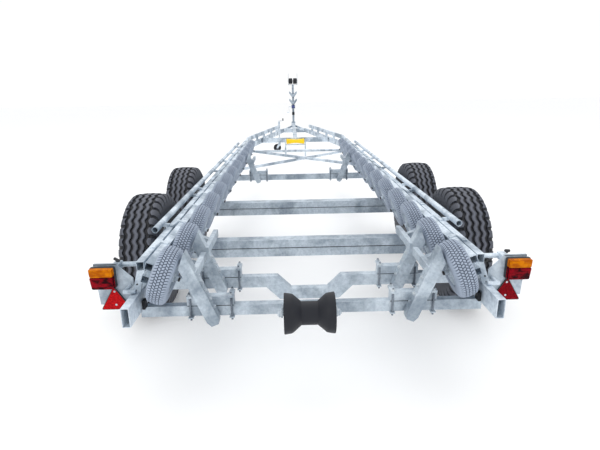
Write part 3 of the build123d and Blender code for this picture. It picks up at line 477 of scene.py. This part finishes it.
def bunk_tyre_mesh():
    """Five rows of small blocks with slanting cuts, split by ring grooves."""
    cols, kind = [], []
    for k in range(TEETH):
        for u, g in ((0.0, 0), (0.54, 0), (0.62, 1), (0.92, 1)):
            cols.append(2 * pi * (k + u) / TEETH)
            kind.append(g)
    pitch = 2 * pi / TEETH
    rows = []
    hw = BW_W / 2
    crown = lambda x: BW_R - 0.0070 * (abs(x) / (hw - 0.013)) ** 2

    def row(x, depth=0.0, s=1.0, cut=0.0, r=None, turn=0.0):
        def f(i):
            rr = (crown(x) if r is None else r) - depth
            ss = s
            # slanted cuts painted dark: painted shade
            if kind[i] and cut:
                rr -= cut
                ss = 0.12
            return (x, rr, turn * pitch, ss)
        rows.append(f)

    # sidewall rows painted darker toward the bead: painted shade
    side = [(hw - 0.010, 0.072, 0.35), (hw - 0.002, 0.084, 0.6), (hw, 0.106, 0.72), (hw - 0.002, 0.124, 0.8), (hw - 0.0065, 0.135, 0.85)]
    row(-hw + 0.018, r=0.072, s=0.1)
    for x, r, s in side:
        row(-x, r=r, s=s)
    edges = [-0.0395, -0.0235, -0.0080, 0.0080, 0.0235, 0.0395]
    for k in range(5):
        a, b = edges[k] + 0.0019, edges[k + 1] - 0.0019
        lean = 0.13 if k % 2 else -0.13
        start = 0.5 if k % 2 else 0.0
        # block tops painted light (painted highlight), ring groove floors painted black (painted shade)
        row(a, s=0.92, cut=0.0028, turn=start - lean)
        row(b, s=1.0, cut=0.0028, turn=start + lean)
        if k < 4:
            row(b + 0.0006, depth=0.0050, s=0.0, turn=start + lean)
            row(b + 0.0032, depth=0.0050, s=0.0, turn=(0.5 if (k + 1) % 2 else 0.0) + lean)
    for x, r, s in side[::-1]:
        row(x, r=r, s=s)
    row(hw - 0.018, r=0.072, s=0.1)
    return ring_rows(rows, cols, lambda x, r, th: (x, r * cos(th), r * sin(th)))


bv, bf, bs = bunk_tyre_mesh()
bunk_mesh = None
hub_mesh = None
for name, side in SIDES.items():
    x_dir = Vector((side * cos(TILT), 0, sin(TILT)))
    y_dir = Vector((0, 1, 0))
    z_dir = x_dir.cross(y_dir)
    turn = Matrix((x_dir, y_dir, z_dir)).transposed().to_4x4()
    for i in range(BW_COUNT):
        body = f"{name}_bunk_wheel_{i + 1:02d}"
        m = Matrix.Translation((side * BW_X, at(BW_FIRST + i * BW_PITCH), BW_Z)) @ turn
        if bunk_mesh is None:
            tyre = piece(f"{body}_tyre", bv, bf, GREY, None, "grey_tyre", bs, sharp=28.0)
            bunk_mesh = tyre.data
            prof = [(-0.050, 0.0088), (-0.050, 0.020), (-0.038, 0.024), (-0.034, 0.028), (-0.034, 0.060), (-0.044, 0.066), (-0.047, 0.074), (-0.043, 0.076), (-0.030, 0.073),
                    (0.030, 0.073), (0.043, 0.076), (0.047, 0.074), (0.044, 0.066), (0.034, 0.060), (0.034, 0.028), (0.038, 0.024), (0.050, 0.020), (0.050, 0.0088)]
            rim = lathe(f"{body}_rim", prof, (0, 0, 0), (1, 0, 0), GALV_DULL, None, 36, "galvanised_steel")
            hub_mesh = rim.data
        else:
            tyre = bpy.data.objects.new(f"{body}_tyre", bunk_mesh)
            rim = bpy.data.objects.new(f"{body}_rim", hub_mesh)
            for o in (tyre, rim):
                bpy.context.scene.collection.objects.link(o)
        spin = Matrix.Rotation(0.7 * i, 4, "X")
        tyre.matrix_world = m @ spin
        rim.matrix_world = m @ spin
        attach(tyre, body)
        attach(rim, body)
        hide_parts(body)

# ------------------------------------------------------------ light boards
BOARD = 0.235
for name, side in SIDES.items():
    P = lambda x, s, z: (side * x, at(s), z)
    plate = Build()
    outline = [(1.102, 0.722), (0.985, 0.722), (0.909, 0.645), (0.912, 0.570), (0.950, 0.505), (1.092, 0.500)]
    plate.prism([P(x, BOARD, z) for x, z in outline], (0, 0.004, 0), 0.0008)
    # folded lip along the top edge
    plate.prism([P(x, BOARD, z) for x, z in ((0.985, 0.718), (1.102, 0.718), (1.102, 0.722), (0.985, 0.722))], (0, 0.016, 0))
    board = plate.done(f"{name}_board_plate", GALV_DULL, slot="galvanised_steel", smooth=False)
    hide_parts(f"{name}_light_board")
    arms = Build()
    arms.rod(P(0.900, 0.290, 0.700), P(1.014, 0.290, 0.700), 0.013, 28, 0.0015)
    arms.rod(P(0.875, 0.160, 0.603), P(0.938, 0.160, 0.603), 0.011, 24, 0.0015)
    arms.rod(P(0.929, 0.162, 0.603), P(0.929, BOARD, 0.603), 0.010, 24, 0.001)
    arms.prism([P(x, BOARD + 0.004, z) for x, z in ((0.977, 0.683), (1.013, 0.683), (1.013, 0.717), (0.977, 0.717))], (0, 0.067, 0), 0.002)
    arms.done(f"{name}_board_arms", GALV, slot="galvanised_steel")
    # clamping knobs: a small wedge on the arm, one more below it on the right
    knob = Build()
    top = Vector(P(1.000 if side < 0 else 1.022, 0.286, 0.7135))
    knob.rod(top, top + Vector((0, 0, 0.012)), 0.005, 16, 0.001)
    a = Vector((side * 0.014, 0, 0.008 if side < 0 else -0.002))
    knob.rod(top + Vector((0, 0, 0.012)) - a, top + Vector((0, 0, 0.014)) + a, 0.0080, 18, 0.003)
    if side > 0:
        low = Vector(P(0.915, 0.285, 0.688))
        knob.rod(low, low + Vector((0, 0, -0.020)), 0.009, 18, 0.003)
    knob.done(f"{name}_board_knob", PLASTIC)
    # lamp: black housing behind a two-colour lens with rounded ends
    housing = Build()
    r = rounded([(0.992, 0.598), (1.114, 0.598), (1.117, 0.712), (0.992, 0.712)], 0.012, 4)
    housing.loft([[P(x, BOARD - 0.001, z) for x, z in r], [P(x, BOARD - 0.014, z) for x, z in r], [P(x, BOARD - 0.017, z) for x, z in rounded([(0.995, 0.601), (1.111, 0.601), (1.114, 0.709), (0.995, 0.709)], 0.012, 4)]])
    housing.done(f"{name}_lamp_housing", PLASTIC)
    for lname, z0, z1, mat_ in (("amber", 0.6655, 0.7090, AMBER), ("red", 0.6010, 0.6645, RED)):
        L = Build()
        rings = []
        for d, e in ((0.0150, 0.0), (0.0360, 0.0008), (0.0400, 0.0030), (0.0415, 0.0070)):
            rr = rounded([(0.996 + e, z0 + e * 0.5), (1.113 - e - (0.004 if lname == "red" else 0), z0 + e * 0.5), (1.115 - e, z1 - e * 0.5), (0.996 + e, z1 - e * 0.5)], 0.007, 4)
            rings.append([P(x, BOARD - d, z) for x, z in rr])
        L.loft(rings)
        L.done(f"{name}_lamp_{lname}", mat_)
    # triangle with a dark moulded rim and two rivets
    tri = [(1.012, 0.604), (1.090, 0.474), (0.934, 0.474)]
    rim_ = Build()
    rim_.loft([[P(x, BOARD - 0.0002, z) for x, z in rounded(tri, 0.012, 4)], [P(x, BOARD - 0.0070, z) for x, z in rounded(tri, 0.012, 4)]])
    rim_.done(f"{name}_triangle_rim", PLASTIC)
    mid = Vector((1.012, 0.5173))
    small = [mid + (Vector(p) - mid) * 0.93 for p in tri]
    face = Build()
    face.loft([[P(x, BOARD - 0.0068, z) for x, z in rounded(small, 0.012, 4)], [P(x, BOARD - 0.0080, z) for x, z in rounded(small, 0.013, 4)]])
    face.done(f"{name}_triangle_face", REFLECTS[name])
    rivets = Build()
    for z in (0.576, 0.502):
        rivets.rod(P(1.010, BOARD - 0.0078, z), P(1.010, BOARD - 0.0100, z), 0.0058, 16, 0.001)
    rivets.done(f"{name}_triangle_rivets", ZINC)

# ------------------------------------------------------- rollers at the ends
KEEL = (-0.020, at(0.084), 0.503)
prof = [(-0.124, 0.0108), (-0.124, 0.0975), (-0.1225, 0.1000), (-0.119, 0.1005), (-0.088, 0.0960), (-0.080, 0.0925), (-0.048, 0.0650), (-0.040, 0.0580)]
prof = prof + [(-x, r) for x, r in prof[::-1]]
roller = lathe("keel_roller_rubber", prof, KEEL, (1, 0, 0), BLACK, "keel_roller", 72, "dark_rubber", 0.6)
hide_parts("keel_roller")

NOSE = (0, at(7.450), 0.528)
prof = [(-0.183, 0.0098), (-0.183, 0.050), (-0.180, 0.0535), (-0.172, 0.0535), (-0.110, 0.046), (-0.050, 0.039), (0.0, 0.0365)]
prof = prof + [(-x, r) for x, r in prof[:-1][::-1]]
roller = lathe("nose_roller_shell", prof, NOSE, (1, 0, 0), YELLOW, "nose_roller", 48, "yellow_plastic")
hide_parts("nose_roller")

first = None
for k, x in enumerate((-0.067, 0.067)):
    c = (x, at(12.080), 1.800)
    prof = [(-0.056, 0.0098), (-0.056, 0.064), (-0.050, 0.075), (-0.040, 0.0812), (0.040, 0.0812), (0.050, 0.075), (0.056, 0.064), (0.056, 0.0098)]
    o = lathe(f"bow_roller_{'left' if k == 0 else 'right'}", prof, c, (1, 0, 0), BLACK, "bow_rollers", 48, "dark_rubber", 0.5)
    if k == 0:
        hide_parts("bow_rollers")

ends = Build()
for sx in (-1, 1):
    x0 = KEEL[0] + sx * 0.138
    ends.rod((x0, KEEL[1], KEEL[2]), (x0 + sx * 0.0022, KEEL[1], KEEL[2]), 0.0185, 28, 0.0004)
    ends.hexnut((x0 + sx * 0.0022, KEEL[1], KEEL[2]), (sx, 0, 0), 0.026, 0.011)
ends.done("keel_pin_washers", ZINC)

stops = Build()
# small near-black blocks on the rails beside the first bunk wheels
for sx in (-1, 1):
    q = rounded([(0.843, 0.497), (0.8605, 0.497), (0.8605, 0.545), (0.843, 0.545)], 0.006, 4)
    stops.loft([[(sx * x, at(0.172), z) for x, z in q], [(sx * x, at(0.208), z) for x, z in q]])
stops.done("rail_dark_blocks", BLACK)

# strap wound on the winch drum
roll = [(-0.038, 0.0225), (-0.038, 0.0385), (-0.0372, 0.0392), (0.0372, 0.0392), (0.038, 0.0385), (0.038, 0.0225)]
lathe("winch_strap_roll", roll, (0, at(12.055), 1.062), (1, 0, 0), WEBBING, "winch_drum", 48)

# jockey wheel: tyre on a pressed rim
JW = (-0.452, at(9.935), 0.100)
prof = [(-0.026, 0.064), (-0.030, 0.072), (-0.030, 0.084), (-0.022, 0.094), (-0.010, 0.0985), (0.010, 0.0985), (0.022, 0.094), (0.030, 0.084), (0.030, 0.072), (0.026, 0.064)]
o = lathe("jockey_wheel_tyre", prof, JW, (0, 1, 0), BLACK, "jockey_wheel", 56, "dark_rubber", 0.5)
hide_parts("jockey_wheel")
prof = [(-0.032, 0.009), (-0.032, 0.020), (-0.010, 0.026), (-0.010, 0.056), (-0.025, 0.064), (-0.021, 0.0655), (0.021, 0.0655), (0.025, 0.064), (0.010, 0.056), (0.010, 0.026), (0.032, 0.020), (0.032, 0.009)]
lathe("jockey_wheel_rim", prof, JW, (0, 1, 0), PLASTIC, "jockey_wheel", 40)
prof = [(-0.0335, 0.009), (-0.0335, 0.0185), (-0.0320, 0.0200), (-0.0318, 0.009)]
lathe("jockey_wheel_hub_cap", prof, JW, (0, 1, 0), ZINC, "jockey_wheel", 28)
# black knob on the leg's crank and black rubber block on the post
knobs = Build()
knobs.rod((-0.288, at(9.935), 0.7855), (-0.288, at(9.935), 0.8475), 0.0150, 24, 0.005)
knobs.done("jockey_crank_knob", PLASTIC)
pad = Build()
q = rounded([(-0.0385, 0.815), (0.0385, 0.815), (0.0385, 0.899), (-0.0385, 0.899)], 0.010, 4)
pad.loft([[(x, at(12.101), z) for x, z in q], [(x, at(12.0835), z) for x, z in q], [(x * 0.94, at(12.0815), 0.857 + (z - 0.857) * 0.94) for x, z in q]])
pad.done("post_rubber_block", BLACK)

# --------------------------------------------- bolts, nuts and hole shadows
fast = Build()
# columns: beam's rear face, its depth and height, x of the strut's middle at height 0.440
CLAMPS = {"rear": (0.211, 0.042, 0.058, 0.509), "mid": (0.566, 0.045, 0.070, 0.516), "front": (3.875, 0.045, 0.070, 0.531)}
STRUT_HALF = 0.032
STRUT_BOLTS = (0.492, 0.535, 0.580, 0.624)
LEAN = radians(22.0)
for key, (station, depth, height, mid_x) in CLAMPS.items():
    zb = 0.492
    for sx in (-1, 1):
        for x in (0.415, 0.626):
            for s in (station - 0.010, station + depth + 0.010):
                fast.bolt((sx * x, at(s), zb + 0.0622), (0, 0, 1), 0.010)
        # bolts along the strut's inboard edge
        for z in STRUT_BOLTS:
            x = mid_x + (z - 0.440) * tan(LEAN)
            face = Vector((sx * (x - STRUT_HALF * cos(LEAN)), at(station - 0.035), z + STRUT_HALF * sin(LEAN)))
            fast.bolt(face, (-sx * cos(LEAN), 0, sin(LEAN)), 0.010)
        low = Vector((sx * (mid_x + 0.020 * tan(LEAN) + STRUT_HALF * cos(LEAN)), at(station - 0.025), 0.460 - STRUT_HALF * sin(LEAN)))
        fast.bolt(low, (sx * cos(LEAN), 0, -sin(LEAN)), 0.010)
fast.done("clamp_fasteners", ZINC)
rods = Build()
clamp_gap_shadows = Build()
for key, (station, depth, height, mid_x) in CLAMPS.items():
    for sx in (-1, 1):
        for x in (0.415, 0.626):
            for s in (station - 0.010, station + depth + 0.010):
                # alternate rings give the thread
                rings = []
                z0, z1 = 0.492 - height - 0.0185, 0.492 + 0.0765
                steps = 44
                for k in range(steps + 1):
                    z, r = z0 + (z1 - z0) * k / steps, 0.0051 if k % 2 else 0.0055
                    rings.append([(sx * x + r * cos(2 * pi * j / 12), at(s) + r * sin(2 * pi * j / 12), z) for j in range(12)])
                rods.loft(rings)
        # thin near-black strip along the joint of each cross beam and the rail above it: painted shadow gap
        clamp_gap_shadows.prism([(sx * x, at(station) - 0.0032, z) for x, z in ((0.404, 0.4905), (0.643, 0.4905), (0.643, 0.4935), (0.404, 0.4935))], (0, 0.0036, 0))
rods.done("clamp_rods", ROD)
clamp_gap_shadows.done("clamp_painted_shadow", PAINTED_SHADOW, smooth=False)

# dark end plugs on the bunk wheel stubs
caps = Build()
for name, side in SIDES.items():
    ax = Vector((side * cos(TILT), 0, sin(TILT)))
    for i in range(BW_COUNT):
        c = Vector((side * BW_X, at(BW_FIRST + i * BW_PITCH), BW_Z))
        q = c - ax * (BW_W / 2 + 0.0165)
        caps.rod(q, q - ax * 0.010, 0.0115, 18, 0.0025)
caps.done("stub_axle_caps", PLASTIC)

axle_gap_shadows = Build()
# thin near-black strip across the joint of each axle member and the axle beam below it: painted shadow gap
for station, depth, z in ((1.273 - 0.0475, 0.095, 0.432), (2.428 - 0.0475, 0.095, 0.432)):
    axle_gap_shadows.prism([(x, at(station) - 0.0012, zz) for x, zz in ((-0.858, z - 0.0022), (0.858, z - 0.0022), (0.858, z + 0.0022), (-0.858, z + 0.0022))], (0, 0.004, 0))
axle_gap_shadows.done("axle_beam_painted_shadow", PAINTED_SHADOW, smooth=False)

holes = Build()
for side in (-1, 1):
    # two bolt holes on the sloping plate at each top rail's rear end, drawn as near-black discs: painted shade inside
    # the holes
    n = Vector((0, -0.0750, 0.0910)).normalized() * -1
    for f, rr in ((0.66, 0.0050), (0.93, 0.0050)):
        s = 0.272 + (0.181 - 0.272) * f
        z = 0.671 + (0.592 - 0.671) * f
        c = Vector((side * 0.885, at(s), z))
        d = Vector((0, -0.0790, 0.0910)).normalized()
        holes.rod(c - d * 0.001, c + d * 0.0006, rr, 18)
holes.done("end_plate_holes", PAINTED_SHADOW)

# ---------------------------------------------- finish of the carried CAD nodes
for n, o in NODES.items():
    if o.hide_render:
        continue
    o.data.materials.clear()
    o.data.materials.append(GALV)
    w = o.modifiers.new("weld", "WELD")
    w.merge_threshold = 0.00005
    if n not in ("jockey_leg", "left_side_guard", "right_side_guard", "diagonal_brace"):
        b = o.modifiers.new("edge", "BEVEL")
        b.width = 0.0022
        b.segments = 2
        b.limit_method = "ANGLE"
        b.angle_limit = radians(50)
        b.harden_normals = False
# the struts, cross beams and axles below the rails take the duller, darker copy: partly a duller finish, partly
# painted shade under the rails; the bow post takes the darkest copy
for n in ("bow_post", "rear_bunk_struts", "mid_bunk_struts", "front_bunk_struts", "dropped_cross_beam", "rear_cross_beam", "rear_axle", "front_axle", "front_cross_beam"):
    if n in NODES and not NODES[n].hide_render:
        NODES[n].data.materials[0] = GALV_DARK if n == "bow_post" else GALV_DULL
NODES["jockey_leg"].data.materials[0] = ZINC

# ---------------------------------------------------------------- surroundings
v = [(-40, -30, 0), (40, -30, 0), (40, 50, 0), (-40, 50, 0)]
floor = piece("floor", v, [(0, 1, 2, 3)], new_mat("pale_floor", (0.972, 0.974, 0.976), 0.9)[0], None, smooth=False)

bpy.context.scene.view_settings.view_transform = "Standard"
world = bpy.data.worlds.new("studio")
bpy.context.scene.world = world
world.use_nodes = True
bg = world.node_tree.nodes["Background"]
bg.inputs["Color"].default_value = (0.985, 0.992, 1.0, 1)
bg.inputs["Strength"].default_value = 1.03


def area(name, loc, aim, size, power, color=(1, 1, 1)):
    l = bpy.data.lights.new(name, "AREA")
    l.shape = "RECTANGLE"
    l.size, l.size_y = size
    l.energy = power
    l.color = color
    o = bpy.data.objects.new(name, l)
    bpy.context.scene.collection.objects.link(o)
    o.location = loc
    o.rotation_euler = (Vector(aim) - Vector(loc)).to_track_quat("-Z", "Y").to_euler()
    return o


area("overhead", (0, 0, 8.5), (0, 0, 0), (9, 15), 300)
area("key", (-5.5, -12, 5.5), (0, -4.5, 0.4), (5, 4), 130, (1.0, 0.99, 0.97))
area("fill", (6.5, -10, 3.5), (0, -3.0, 0.5), (5, 4), 45, (0.95, 0.98, 1.0))

# --------------------------------------------------------------------- camera
YAW, PITCH, ROLL, FOCAL = 0.0169, 0.2953, 0.0173, 444.35
cy, sy, cp, sp = cos(YAW), sin(YAW), cos(PITCH), sin(PITCH)
fwd = Vector((sy * cp, cy * cp, -sp))
right = Vector((cy, -sy, 0))
down = fwd.cross(right)
r2 = cos(ROLL) * right + sin(ROLL) * down
d2 = -sin(ROLL) * right + cos(ROLL) * down
cam = bpy.data.cameras.new("camera")
cam.sensor_fit = "HORIZONTAL"
cam.sensor_width = 36.0
cam.lens = FOCAL / 600 * 36.0
cam.clip_end = 200
co = bpy.data.objects.new("camera", cam)
bpy.context.scene.collection.objects.link(co)
co.matrix_world = Matrix.Translation((-0.0919, at(-1.8664), 1.5459)) @ Matrix((r2, -d2, -fwd)).transposed().to_4x4()
bpy.context.scene.camera = co

bpy.context.view_layer.update()
